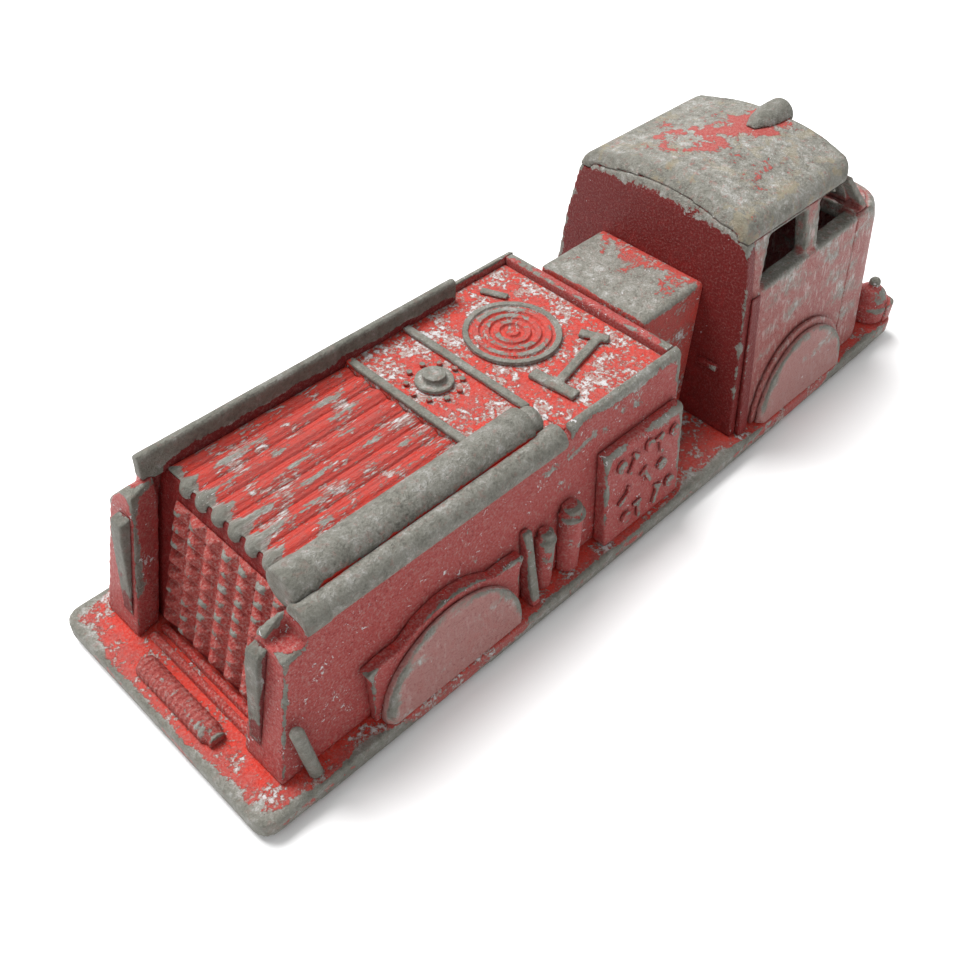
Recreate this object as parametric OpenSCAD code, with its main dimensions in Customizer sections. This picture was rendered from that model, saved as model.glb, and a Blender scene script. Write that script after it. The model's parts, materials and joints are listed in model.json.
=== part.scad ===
// Die-cast toy fire engine: a hollow one-piece metal casting on two hidden wheelsets.
// The front is +X, the left side is +Y and the wheels touch the ground at Z = 0.
// Every cast-in feature of the casting is a sub-part of its own, meeting its neighbours face to face.
// Stations along the length are given as distances from the rear edge of the running board,
// and heights as distances above the running board's top face.

/* [Running board] */
// Length of the running board, which is the length of the toy
length = 131; // [126:1:136]
// Width of the running board at its ends
board_w = 40; // [39:0.5:42]
// How far each long edge bows out at mid-length
board_bow = 0.6; // [0:0.1:1]
// Thickness of the running board
board_t = 2.6; // [2:0.1:2.8]
// Radius of the running board's corners
board_corner = 2.2; // [1.6:0.1:4]

/* [Wheels] */
// Gap between the running board and the ground
ground_gap = 0.9; // [0.8:0.1:1.6]
// Radius of a wheel
wheel_r = 6.5; // [6:0.1:7]
// Width of a wheel
wheel_w = 3.6; // [3:0.1:4]
// Radius of an axle
axle_r = 1.1; // [0.9:0.05:1.3]
// Station of the rear axle
rear_axle_x = 30; // [28:0.5:32]
// Station of the front axle
front_axle_x = 103; // [101:0.5:105]

/* [Rear body] */
// Station of the rear ends of the side walls at the board
body_rear = 4.8; // [4:0.1:6]
// Station of the front face of the rear body
body_front = 73.1; // [72:0.1:74]
// Half-width of the rear body at the board
body_half = 17.2; // [16.8:0.1:17.6]
// Height of the rim round the equipment tray
deck_rim_h = 22; // [21.5:0.1:22.5]
// Height of the tray floor and the tank top
deck_h = 20.9; // [20.5:0.1:21.2]
// Pitch of the hose layers laid lengthwise in the bed
hose_pitch = 3; // [2.8:0.05:3.1]

/* [Cab] */
// Station of the cab's rear wall
cab_rear = 86; // [85:0.5:87]
// Half-width of the cab at the board
cab_half = 18.3; // [18:0.1:18.6]
// Height of the belt line under the side windows, at the cab's rear wall
belt_h = 22.6; // [22:0.1:23]
// How far the belt line rises towards the nose
belt_rise = 1.8; // [1:0.1:2.2]
// Height of the roof at its crown
roof_h = 34.7; // [34.4:0.1:35.2]

/* [Hidden] */

paint = "firebrick";
bare_metal = "darkgray";
steel = "silver";
rubber = "dimgray";

// Height of the running board's top face above the ground
board_top = ground_gap + board_t;
// Height of the axles above the ground
axle_z = wheel_r;
// Running clearance round an axle
axle_play = 0.05;

// Half-width of the straight inner faces of the rear body
bay_half = 14.2;
// Half-width of the openings under the casting
well_half = 12.4;
// Half-width of the rear body at the tray rim
rim_half = 15.4;
// Rearward rake of the rear body, as a run for each unit of height
rake = 0.2;
// Stations of the two ribs across the tank top
rib_x = [40.8, 51.6];
// Width of a rib
rib_w = 1.2;
// Wall thickness of the casting
wall = 1.8;

// Stations of the cab's windscreen foot, roof front and nose
screen_foot = 117.5;
roof_front = 112;
nose_front = 124.4;
// How far the nose runs out at the board
nose_run = 2;
// Slope of the belt line
belt_tilt = atan2(belt_rise, nose_front - cab_rear);
// Half-width of the cab at the belt and at the roof's edge
belt_half = 15.8;
roof_half = 14.2;
// Height of the roof's lower edge
eave_h = 30.6;

// Distance from the rear edge turned into an X coordinate
function sx(d) = d - length / 2;
// Points of an arc, centre c, radius r, from angle a to angle b
function arc(c, r, a, b, n) = [for (i = [0:n]) c + r * [cos(a + (b - a) * i / n), sin(a + (b - a) * i / n)]];

// Draws a YZ outline and runs it along X between two stations
module run_x(from, to) {
  translate([sx(from), 0, board_top]) rotate([90, 0, 90]) linear_extrude(to - from) children();
}
// Draws an XZ outline, in stations and heights, and runs it along Y
module run_y(from, to) {
  translate([sx(0), to, board_top]) rotate([90, 0, 0]) linear_extrude(to - from) children();
}
// Draws a plan outline, in stations, and runs it up between two heights
module run_z(from, to) {
  translate([sx(0), 0, board_top + from]) linear_extrude(to - from) children();
}
module both_sides() {
  children();
  mirror([0, 1, 0]) children();
}
module on_left() {
  mirror([0, 1, 0]) children();
}

// ---- running board ----
module board_outline() {
  bow_r = (pow(length / 2, 2) + pow(board_bow, 2)) / (2 * board_bow + 0.001);
  bow_a = asin((length / 2 - board_corner) / bow_r);
  corner_y = board_w / 2 - board_corner;
  edge = arc([length / 2, board_w / 2 + board_bow - bow_r], bow_r, 90 - bow_a, 90 + bow_a, 16);
  half = concat(
    arc([length - board_corner, corner_y], board_corner, 0, 80, 6),
    edge,
    arc([board_corner, corner_y], board_corner, 100, 180, 6)
  );
  polygon(concat(half, [for (i = [len(half) - 1:-1:0]) [half[i][0], -half[i][1]]]));
}
module running_board() {
  color(paint) difference() {
    run_z(-board_t, 0) board_outline();
    run_z(-board_t - 1, 1) translate([17, -well_half]) square([51, 2 * well_half]);
    run_z(-board_t - 1, 1) translate([88, -well_half]) square([34.5, 2 * well_half]);
  }
}

// ---- rear body ----
// Outline of the right side wall at one section; its outer face leans in with height
module side_wall_section(top) {
  lean = (body_half - rim_half) / deck_rim_h;
  outer = body_half - lean * (top - 1);
  polygon([
    [-bay_half, 0], [-body_half, 0], [-outer, top - 1], [-outer + 0.35, top - 0.3],
    [-outer + 1, top], [-bay_half, top]
  ]);
}
module rear_rake_cut(height) {
  run_y(-25, 25) polygon([
    [-1, -1], [body_rear, -1], [body_rear, 0], [body_rear + rake * height, height],
    [body_rear + rake * height, height + 9], [-1, height + 9]
  ]);
}
// Return at the rear end of a wall, closing the side of the hose bed
module rear_return(top) {
  run_z(0, top) polygon([
    [body_rear, -bay_half], [body_rear, -10.4], [body_rear + 3.4, -10.9],
    [body_rear + 8, -12.6], [body_rear + 8, -bay_half]
  ]);
}
module right_wall_solid(rear_top) {
  difference() {
    union() {
      run_x(body_rear, rib_x[1]) side_wall_section(20.6);
      run_x(rib_x[1], body_front) side_wall_section(deck_rim_h);
      intersection() {
        rear_return(20.6);
        run_y(-25, 25) polygon([
          [body_rear, 0], [8.2, 0], [13.2, 18.4], [13.2, rear_top], [body_rear, rear_top]
        ]);
      }
    }
    rear_rake_cut(deck_rim_h);
  }
}
module right_side_wall() {
  color(paint) difference() {
    right_wall_solid(20.6);
    run_y(-25, -12.5) polygon([[0, 18], [11.4, 18], [11.4, 30], [0, 30]]);
    run_y(-13, -9) polygon([[0, 19], [8.6, 19], [11, 20.7], [11, 30], [0, 30]]);
  }
}
module left_side_wall() {
  color(paint) difference() {
    on_left() right_wall_solid(20.6);
    run_x(0, 12) polygon([[18, 15], [18, 30], [11, 30], [13.4, 20.6], [16.7, 17]]);
  }
}
module body_front_wall() {
  color(paint) run_y(-bay_half, bay_half) polygon([
    [body_front - wall, 0], [body_front, 0], [body_front, deck_rim_h - 0.5],
    [body_front - 0.5, deck_rim_h], [body_front - wall, deck_rim_h]
  ]);
}
// Raked rear face and top of the hose bed
bed_top = 20.2;
bed_foot = 8.6;
bed_head = 14.6;
module hose_bed_shell() {
  color(paint) difference() {
    run_y(-bay_half, bay_half) polygon([
      [bed_foot, 0], [bed_head, bed_top], [rib_x[0], bed_top], [rib_x[0], bed_top - wall],
      [bed_head + wall, bed_top - wall], [bed_foot + wall, 0]
    ]);
    both_sides() right_wall_solid(20.6);
  }
}
// Layers of hose laid lengthwise; the ones between the walls' returns end in a rounded fold
module packed_hose_top() {
  ridge_r = 2;
  sink = 1.3;
  fold_r = 1.35;
  color(paint) {
    intersection() {
      for (i = [-4:4])
        translate([sx(bed_head), i * hose_pitch, board_top + bed_top - sink]) rotate([0, 90, 0])
          cylinder(r = ridge_r, h = rib_x[0] - bed_head, $fn = 32);
      run_z(bed_top, bed_top + 2) translate([0, -12.6]) square([80, 25.2]);
    }
    difference() {
      for (i = [-3:3])
        translate([sx(bed_head + 0.5), i * hose_pitch, board_top + bed_top - 0.5])
          sphere(r = fold_r, $fn = 32);
      hose_bed_shell();
    }
  }
}
// Folded ends of the hose layers: a grid of small pyramids on the raked rear face
module packed_hose_rear() {
  columns = 7;
  rows = 8;
  pitch = 2.2;
  slope = atan2(bed_head - bed_foot, bed_top);
  color(paint) difference() {
    translate([sx(bed_foot), 0, board_top]) rotate([0, slope - 90, 0])
      for (i = [0:rows - 1], j = [0:columns - 1])
        translate([2.2 + i * pitch, (j - (columns - 1) / 2) * hose_pitch, 0]) hull() {
          translate([0, 0, 0.05]) cube([pitch - 0.04, hose_pitch - 0.04, 0.1], center = true);
          translate([0.15, 0, 1.15]) cube([0.5, 0.8, 0.1], center = true);
        }
    both_sides() right_wall_solid(20.6);
    packed_hose_top();
  }
}

// ---- deck ----
module tank_top() {
  color(paint) run_y(-bay_half, bay_half) polygon([
    [rib_x[0], deck_h - wall - 0.6], [rib_x[0], deck_h], [rib_x[1], deck_h],
    [rib_x[1], deck_h - wall - 0.6]
  ]);
}
module deck_ribs() {
  color(bare_metal) for (x = rib_x)
    run_y(-8.8, rail_y - rail_w / 2) translate([x - (x == rib_x[0] ? 0 : rib_w), deck_h])
      square([rib_w, 0.7]);
}
cap_x = 46.4;
cap_y = 2.4;
module filler_cap() {
  color(bare_metal) translate([sx(cap_x), cap_y, board_top + deck_h]) {
    cylinder(r = 2.5, h = 0.7, $fn = 48);
    translate([0, 0, 0.7]) cylinder(r = 1.5, h = 0.9, $fn = 48);
  }
}
module filler_cap_bolts() {
  bolts = 10;
  color(bare_metal) for (i = [0:bolts - 1])
    translate([sx(cap_x), cap_y, board_top + deck_h]) rotate([0, 0, i * 360 / bolts])
      translate([3.5, 0, 0]) cylinder(r = 0.42, h = 0.45, $fn = 16);
}
module equipment_tray() {
  color(paint) run_z(deck_h - wall - 0.6, deck_h) translate([rib_x[1], -bay_half])
    square([body_front - wall - rib_x[1], 2 * bay_half]);
}
coil_x = 60.3;
coil_y = 2.4;
module hose_coil() {
  turns = 4;
  turn_w = 1.35;
  color(paint) translate([sx(coil_x), coil_y, board_top + deck_h]) {
    for (i = [1:turns])
      rotate_extrude($fn = 64) translate([(i + 0.5) * turn_w - 0.4, 0]) square([turn_w * 0.62, 0.65]);
    cylinder(r = turn_w * 0.7, h = 0.65, $fn = 32);
    cylinder(r = turn_w * 4.4, h = 0.25, $fn = 64);
  }
}
// A raised bar on the tray floor between two plan points
module floor_bar(a, b, w, h) {
  d = b - a;
  translate([sx(a[0]), a[1], board_top + deck_h]) rotate([0, 0, atan2(d[1], d[0])])
    translate([0, -w / 2, 0]) cube([norm(d), w, h]);
}
module hydrant_wrench() {
  color(bare_metal) {
    floor_bar([56.2, -4.8], [56.9, -11.6], 1.8, 0.7);
    floor_bar([57.4, -8.3], [67.6, -6], 1.3, 0.7);
    floor_bar([66.6, -3.6], [68.3, -7.2], 1.4, 0.7);
  }
}
module hose_spanner() {
  color(bare_metal) {
    floor_bar([64, 11.8], [65.6, 8.2], 1.2, 0.5);
  }
}
rail_y = 13.3;
rail_w = 1.4;
rail_end = 60.3;
module left_bed_rail() {
  color(bare_metal) difference() {
    run_x(11.4, rail_end) polygon([
      [rail_y - rail_w / 2, bed_top], [rail_y - rail_w / 2, 23.7], [rail_y - 0.35, 24.1],
      [rail_y + 0.35, 24.1], [rail_y + rail_w / 2, 23.7], [rail_y + rail_w / 2 + 0.3, bed_top]
    ]);
    on_left() right_wall_solid(20.6);
    hose_bed_shell();
    tank_top();
    equipment_tray();
  }
}
module lying_hose(from, to, y, z, r) {
  translate([sx(from), y, board_top + z]) rotate([0, 90, 0]) cylinder(r = r, h = to - from, $fn = 48);
  translate([sx(from), y, board_top + z]) rotate([0, 90, 0]) cylinder(r = r + 0.15, h = 3, $fn = 48);
}
upper_hose = [-11.3, 22.4];
lower_hose = [-14.6, 20.9];
module upper_hose_solid() {
  lying_hose(12, 47.4, upper_hose[0], upper_hose[1], 2.4);
  translate([sx(47.4), upper_hose[0], board_top + upper_hose[1] - 0.3]) rotate([0, 90, 0])
    cylinder(r = 1.9, h = 2, $fn = 48);
}
module suction_hose_upper() {
  color(bare_metal) difference() {
    upper_hose_solid();
    right_wall_solid(20.6);
    hose_bed_shell();
    packed_hose_top();
    tank_top();
    equipment_tray();
    deck_ribs();
  }
}
module suction_hose_lower() {
  color(bare_metal) difference() {
    lying_hose(11.4, 50.2, lower_hose[0], lower_hose[1], 1.8);
    upper_hose_solid();
    right_wall_solid(20.6);
    hose_bed_shell();
    packed_hose_top();
    tank_top();
  }
}

// ---- rear step ----
module rear_step_hose() {
  color(paint) intersection() {
    union() {
      translate([sx(3.2), -6.8, board_top + 0.4]) rotate([-90, 0, 0]) cylinder(r = 1.5, h = 13.2, $fn = 48);
      translate([sx(3.2), -8.1, board_top + 0.4]) rotate([-90, 0, 0]) cylinder(r = 1.15, h = 1.3, $fn = 48);
    }
    run_z(0, 5) translate([0, -20]) square([20, 40]);
  }
}
module rear_step_bars() {
  color(paint) for (i = [0:1])
    run_y(-9.6, 9.6) translate([5.7 + 1.6 * i, 0]) polygon([[0, 0], [1.1, 0], [1.1, 0.8], [0.3, 0.8]]);
}
// Strap handle standing on the raked end of a side wall
module grab_strap() {
  color(paint) run_y(-13.4, -11.2) polygon([
    [body_rear + rake * 3, 3], [body_rear + rake * 18, 18], [body_rear + rake * 18 - 1.5, 17.6],
    [body_rear + rake * 16 - 1.5, 15.4], [body_rear + rake * 3 - 0.1, 3]
  ]);
}
module right_grab_strap() {
  grab_strap();
}
module left_grab_strap() {
  on_left() grab_strap();
}
module corner_post() {
  color(paint) difference() {
    translate([sx(8.6), -18.4, board_top]) rotate([-4, -8, 0]) cylinder(r = 0.85, h = 9, $fn = 32);
    right_wall_solid(20.6);
    run_z(-9, 0) translate([-5, -30]) square([60, 60]);
  }
}

// ---- sides ----
// Upper half of an ellipse standing on the board, its crest tipped rearward by a skew
function arch(x, rx, rz, skew) = [
  for (a = [0:7.5:180]) [x + rx * cos(a), rz * sin(a) * (1 - skew * cos(a))]
];
arch_skew = 0.06;
rear_arch_face = 18.3;
front_arch_face = 18.9;
// Inward lean of each arch's face for each unit of height
rear_arch_lean = 0.02;
front_arch_lean = 0.093;
// Slab whose right face leans in with height, from which a wheel arch is cut
module arch_slab(face, lean) {
  top = 15;
  run_x(15, 120) polygon([[-face, 0], [-15, 0], [-15, top], [-face + lean * top, top]]);
}
// Half-round boss that stands for a wheel, on the leaning face of its wheel arch; its rim is
// bevelled and its face leans in with height
module wheel_disc(x, rx, rz, skew, back, back_lean) {
  lean = 1.5;
  bevel = 1.1;
  face = board_w / 2 + 0.2;
  top = rz + 1;
  intersection() {
    hull() {
      run_y(-face, -face + 0.01) polygon(arch(x, rx - bevel, rz - bevel, skew));
      run_y(-face + 0.8, -face + 0.81) polygon(arch(x, rx - 0.3, rz - 0.3, skew));
      run_y(-15.2, -15) polygon(arch(x, rx, rz, skew));
    }
    run_x(x - rx - 1, x + rx + 1) polygon([
      [-face, 0], [-back, 0], [-back + back_lean * top, top], [-face + lean + 0.5, top],
      [-face + lean - 0.2, rz - 1.2], [-face + 0.2, 1]
    ]);
  }
}
rear_disc_rx = 11.5;
rear_arch_x = rear_axle_x - 0.7;
module rear_wheel_discs() {
  color(paint) both_sides() wheel_disc(rear_arch_x, rear_disc_rx, 11.2, 0, rear_arch_face,
    rear_arch_lean);
}
front_arch_x = front_axle_x - 0.5;
module front_disc() {
  wheel_disc(front_arch_x, 11.4, 11.2, arch_skew, front_arch_face, front_arch_lean);
}
module front_wheel_discs() {
  color(paint) both_sides() front_disc();
}
// Back plate of the rear wheel arch: a round arch with pointed ears at its shoulders
module rear_fender() {
  x = rear_arch_x;
  reach = rear_disc_rx + 0.3;
  difference() {
    intersection() {
      arch_slab(rear_arch_face, rear_arch_lean);
      run_y(-rear_arch_face - 1, -13) {
        polygon(arch(x, reach, 12, 0));
        for (s = [-1, 1]) polygon([
          [x, 0], [x + s * reach, 0], [x + s * reach, 7.4], [x + s * (reach + 0.7), 9.2],
          [x + s * (reach - 1.8), 9.6], [x, 9.6]
        ]);
      }
    }
    right_wall_solid(20.6);
  }
}
module rear_fenders() {
  color(paint) both_sides() rear_fender();
}
// Wheel arch of the cab, standing a little proud of its side
module front_fender() {
  difference() {
    intersection() {
      arch_slab(front_arch_face, front_arch_lean);
      run_y(-front_arch_face - 1, -13) polygon(arch(front_arch_x, 11.9, 12, arch_skew));
    }
    lower_cab(0);
  }
}
module front_fenders() {
  color(paint) both_sides() front_fender();
}
panel_x = [56.4, 72.2];
module pump_panel() {
  color(paint) difference() {
    run_x(panel_x[0], panel_x[1]) polygon([[-15, 0], [-19.4, 0], [-17.8, 14.4], [-17.3, 14.9], [-15, 14.9]]);
    right_wall_solid(20.6);
  }
}
module right_pump_panel() {
  pump_panel();
}
module left_pump_panel() {
  on_left() pump_panel();
}
// Places its children, drawn looking at the panel's face, at a station and a height
module on_panel(x, h) {
  lean = 6.34;
  translate([sx(x), -19.4 + h * tan(lean), board_top + h]) rotate([90 - lean, 0, 0])
    translate([0, 0, -0.3]) children();
}
// Round gauges and capped outlets with a curved pipe or a lever beside each
module pump_controls() {
  color(bare_metal) difference() {
    union() {
      for (c = [[59.2, 12.2], [64.8, 12.4], [70, 11.8], [60.4, 3], [69.6, 3.4], [67.6, 7.6]])
        on_panel(c[0], c[1]) cylinder(r = 0.95, h = 0.85, $fn = 32);
      for (c = [[61.4, 11.2, 60], [67.2, 11, 100], [59.8, 6.6, 30], [64.6, 7.4, 120], [62.9, 2.6, 95],
                [66.6, 2.8, 70]])
        on_panel(c[0], c[1]) rotate([0, 0, c[2]]) {
          translate([-1.3, -0.35, 0]) cube([2.6, 0.7, 0.8]);
          translate([1.1, -0.9, 0]) cube([0.7, 1.8, 0.7]);
        }
    }
    pump_panel();
  }
}
module right_pump_controls() {
  pump_controls();
}
module left_pump_controls() {
  on_left() pump_controls();
}
module bottle(x, y, r, h) {
  difference() {
    union() {
      translate([sx(x), y, board_top]) cylinder(r = r, h = h - 1.6, $fn = 48);
      translate([sx(x), y, board_top + h - 1.6]) cylinder(r = r * 1.12, h = 0.5, $fn = 48);
      translate([sx(x), y, board_top + h - 1.1]) cylinder(r = r * 0.8, h = 1.1, $fn = 48);
    }
    right_wall_solid(20.6);
  }
}
module large_extinguishers() {
  color(paint) both_sides() bottle(50.8, -17.4, 1.7, 11);
}
module small_extinguishers() {
  color(paint) both_sides() bottle(46.2, -17.4, 1.3, 9.8);
}
module tool_brackets() {
  color(paint) both_sides() difference() {
    run_x(42.4, 43.8) polygon([[-15, 0], [-19.7, 0], [-17.3, 11.6], [-15, 11.6]]);
    right_wall_solid(20.6);
  }
}

// ---- cab ----
module engine_cover() {
  half = 9.1;
  top = 22.6;
  color(paint) run_x(body_front, cab_rear) polygon([
    [-half, 0], [-half, top - 0.5], [-half + 0.5, top], [half - 0.5, top], [half, top - 0.5],
    [half, 0], [half - wall, 0], [half - wall, top - wall], [wall - half, top - wall],
    [wall - half, 0]
  ]);
}
// Plan of the lower cab with rounded front corners
module cab_plan(rear, front, half, corner) {
  polygon(concat(
    [[rear, -half]],
    arc([front - corner, -half + corner], corner, -90, 0, 6),
    arc([front - corner, half - corner], corner, 0, 90, 6),
    [[rear, half]]
  ));
}
// Places its children on the sloping belt plane, raised by a height
module on_belt(up) {
  translate([sx(cab_rear), 0, board_top + belt_h + up]) rotate([0, -belt_tilt, 0])
    translate([-cab_rear, 0, 0]) children();
}
// Block that reaches down by a depth from a level at or under the belt plane
module below_belt(depth, level = 0) {
  on_belt(level - depth) translate([cab_rear - 20, -30, 0]) cube([80, 60, depth]);
}
// Solid lower cab, shrunk by the inset: it narrows up to the belt and is rounded over
// the front of the nose
nose_round = 3.2;
module lower_cab(inset) {
  hull() {
    run_z(-0.5, -0.4)
      cab_plan(cab_rear + inset, nose_front + nose_run - inset, cab_half - inset, 7.5 - inset);
    on_belt(-nose_round) linear_extrude(0.01)
      cab_plan(cab_rear + inset, nose_front - inset, belt_half + 0.33 - inset, 6.5 - inset);
    on_belt(-0.8) linear_extrude(0.01)
      cab_plan(cab_rear + inset, nose_front - 1.2 - inset, belt_half + 0.08 - inset, 6 - inset);
    on_belt(0) linear_extrude(0.01)
      cab_plan(cab_rear + inset, nose_front - 3 - inset, belt_half - inset, 5 - inset);
  }
}
// Hollow lower cab between the rear wall and the nose
module lower_cab_shell() {
  difference() {
    intersection() {
      lower_cab(0);
      below_belt(60);
      run_z(0, 40) translate([80, -30]) square([60, 60]);
    }
    lower_cab(wall);
  }
}
side_window_rear = [[89.6, 22.95], [100.6, 23.45], [99.7, 30.3], [91.3, 30.1]];
side_window_front = [[103.6, 23.6], [116, 24.2], [110.5, 30.4], [103.4, 30.4]];
nose_cut = 114;
// Outline of the right window wall, leaning in up to the eave
module window_wall_section() {
  polygon([
    [-belt_half, belt_h - 1], [-belt_half + 0.35, belt_h + 0.6], [-roof_half, eave_h],
    [-roof_half + wall, eave_h], [-belt_half + wall + 0.4, belt_h - 1]
  ]);
}
module cab_side() {
  color(paint) {
    intersection() {
      lower_cab_shell();
      run_z(-1, 40) translate([cab_rear + wall, -25]) square([nose_cut - cab_rear - wall, 25]);
    }
    difference() {
      intersection() {
        run_x(cab_rear + wall, 120) window_wall_section();
        run_y(-25, 0) polygon([
          [cab_rear, belt_h - 1], [screen_foot, belt_h - 1], [screen_foot, belt_h + 1.4],
          [roof_front - 0.4, eave_h], [cab_rear, eave_h]
        ]);
      }
      below_belt(10, -0.5);
      intersection() {
        below_belt(10);
        run_z(0, 40) translate([nose_cut, -30]) square([20, 60]);
      }
      run_y(-25, 0) polygon(side_window_rear);
      run_y(-25, 0) polygon(side_window_front);
    }
  }
}
module cab_right_side() {
  cab_side();
}
module cab_left_side() {
  on_left() cab_side();
}
// Section of the roof: a flat crown with round shoulders
shoulder_r = 2.8;
crown_drop = 1.3;
crown_r = 42;
function roof_edge(drop) = concat(
  arc([-roof_half + shoulder_r, roof_h - crown_drop - shoulder_r], shoulder_r - drop, 180, 108, 6),
  arc([0, roof_h - crown_r], crown_r - drop, 103.5, 76.5, 10),
  arc([roof_half - shoulder_r, roof_h - crown_drop - shoulder_r], shoulder_r - drop, 72, 0, 6)
);
// Side view of the roof, rounded down at the rear edge
roof_tip = 114.6;
module roof_profile(low) {
  polygon(concat(
    [[cab_rear, low]], arc([cab_rear + 4, roof_h - 3.9], 4, 180, 90, 8),
    [[roof_tip, roof_h + 0.1], [roof_tip, low]]
  ));
}
// Plan of the roof, its front edge bowed forward between rounded corners
module roof_plan(inset) {
  bow = 30;
  corner = 3.4;
  corner_y = roof_half - corner;
  run = sqrt(pow(bow - corner, 2) - pow(corner_y, 2));
  turn = atan2(corner_y, run);
  polygon(concat(
    [[cab_rear, -roof_half]],
    arc([roof_tip - bow + run, -corner_y], corner - inset, -90, -turn, 5),
    arc([roof_tip - bow, 0], bow - inset, -turn, turn, 12),
    arc([roof_tip - bow + run, corner_y], corner - inset, turn, 90, 5),
    [[cab_rear, roof_half]]
  ));
}
module roof_solid(low) {
  over = 3.4;
  intersection() {
    run_x(cab_rear, roof_tip)
      polygon(concat([[-roof_half, low]], roof_edge(0), [[roof_half, low]]));
    run_y(-25, 25) roof_profile(low);
    hull() {
      run_z(low, low + 0.01) roof_plan(0);
      for (a = [0:15:90]) run_z(roof_h + 0.1 - over * (1 - sin(a)), roof_h + 0.11 - over * (1 - sin(a)))
        roof_plan(over * (1 - cos(a)));
    }
  }
}
module cab_roof() {
  color(bare_metal) difference() {
    roof_solid(eave_h);
    run_x(cab_rear - 1, roof_front - 1.4) polygon(concat(
      [[-roof_half + wall, eave_h - 1]], roof_edge(wall), [[roof_half - wall, eave_h - 1]]
    ));
  }
}
module cab_rear_wall() {
  color(paint) intersection() {
    run_x(cab_rear, cab_rear + wall) polygon(concat(
      [[-cab_half + 0.05, 0], [-belt_half, belt_h], [-roof_half, eave_h],
       [-roof_half + wall, eave_h]],
      roof_edge(wall),
      [[roof_half - wall, eave_h], [roof_half, eave_h], [belt_half, belt_h],
       [cab_half - 0.05, 0]]
    ));
    run_y(-25, 25) roof_profile(-1);
  }
}
// Sloping frame round the open windscreen, with a centre post
module windscreen_frame() {
  slab = 1.6;
  color(paint) difference() {
    run_y(-12.8, 12.8) polygon([
      [screen_foot - slab, belt_h + 1], [screen_foot, belt_h + 1], [roof_front, eave_h + 0.2],
      [roof_front - slab, eave_h + 0.2]
    ]);
    for (s = [-1, 1]) run_z(belt_h + 3.2, eave_h - 1)
      translate([105, s * 5.9 - 5.2]) square([20, 10.4]);
    below_belt(10);
    cab_roof();
    both_sides() cab_side();
    cab_hood();
  }
}
// Raised beads down the rear corners of the cab and a step on its rear wall
module cab_corner_beads() {
  color(paint) both_sides() difference() {
    run_x(cab_rear + 1.2, cab_rear + 3.4)
      polygon([
        [-cab_half - 0.8, 0], [-cab_half + 1, 0], [-belt_half + 1, belt_h], [-belt_half - 0.3, belt_h]
      ]);
    lower_cab(0);
    front_fender();
    front_disc();
  }
}
module cab_step() {
  color(paint) intersection() {
    translate([sx(cab_rear - 0.2), -14, board_top + 10.6]) rotate([-90, 0, 0])
      cylinder(r = 0.6, h = 3.2, $fn = 24);
    run_x(cab_rear - 5, cab_rear) translate([-20, 5]) square([40, 20]);
  }
}
module cab_nose() {
  color(paint) intersection() {
    lower_cab_shell();
    run_z(-1, 40) translate([nose_cut, -25]) square([20, 50]);
  }
}
// Top of the nose, crowned a little above the belt
module cab_hood() {
  crown = 0.6;
  color(paint) difference() {
    union() {
      intersection() {
        lower_cab(wall);
        below_belt(wall);
        run_z(0, 40) translate([nose_cut, -25]) square([20, 50]);
      }
      hull() {
        on_belt(0) linear_extrude(0.01) cab_plan(nose_cut, nose_front - 3, belt_half, 5);
        on_belt(crown) linear_extrude(0.01) cab_plan(nose_cut, nose_front - 5.5, belt_half - 2.2, 4);
      }
    }
    both_sides() cab_side();
    cab_nose();
  }
}
// Upright bars over the middle of the nose
module radiator_grille() {
  color(bare_metal) difference() {
    for (i = [-3:3])
      run_z(4, 16) translate([nose_front - 1, i * 2 - 0.5]) square([2.9, 1]);
    lower_cab(0);
  }
}
module headlamps() {
  color(bare_metal) difference() {
    for (y = [-11.4, 11.4]) translate([sx(nose_front - 3), y, board_top + 10.5]) rotate([0, 90, 0]) {
      cylinder(r = 2.3, h = 4.6, $fn = 48);
      translate([0, 0, 4.6]) cylinder(r = 1.7, h = 0.5, $fn = 48);
    }
    lower_cab(0);
  }
}
bumper_h = 3.2;
module front_bumper() {
  half = 19.6;
  color(paint) run_z(0, bumper_h) polygon(concat(
    [[127.6, -half]], arc([129.4, -half + 1.4], 1.4, -90, 0, 4), arc([129.4, half - 1.4], 1.4, 0, 90, 4),
    [[127.6, half]]
  ));
}
// Bullet-shaped light lying fore and aft on the roof
module roof_beacon() {
  r = 2.3;
  barrel = 7.6;
  nose = 1;
  color(bare_metal) difference() {
    translate([sx(105.4), 0, board_top + roof_h - 0.4]) rotate([0, 90, 0])
      rotate_extrude($fn = 48) polygon(concat(
        [[0, 0], [r * 0.4, 0], [r * 0.82, 2.4], [r, 4.6], [r, barrel]],
        [for (a = [15:15:75]) [r * cos(a), barrel + nose * sin(a)]], [[0, barrel + nose]]
      ));
    roof_solid(eave_h - 5);
  }
}
corner_x = 127.6;
corner_y = 16.2;
// Bell on the right end of the bumper and siren drum on its left end
module bell() {
  color(bare_metal) difference() {
    translate([sx(corner_x), -corner_y, board_top]) rotate_extrude($fn = 48) polygon(concat(
      [[0, 0], [3.1, 0], [3.2, 2.3], [3.2, 3]],
      arc([0, 3], 2.8, 0, 60, 6),
      [[0.95, 5.5], [0.95, 6.6], [0.6, 7.1], [0, 7.1]]
    ));
    lower_cab(0);
    front_bumper();
  }
}
module siren() {
  color(bare_metal) difference() {
    translate([sx(corner_x), corner_y, board_top]) rotate_extrude($fn = 48)
      polygon([[0, 0], [3, 0], [3, 3.2], [2.4, 3.6], [2.4, 6], [1.8, 6.6], [0, 6.6]]);
    lower_cab(0);
    front_bumper();
  }
}

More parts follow.
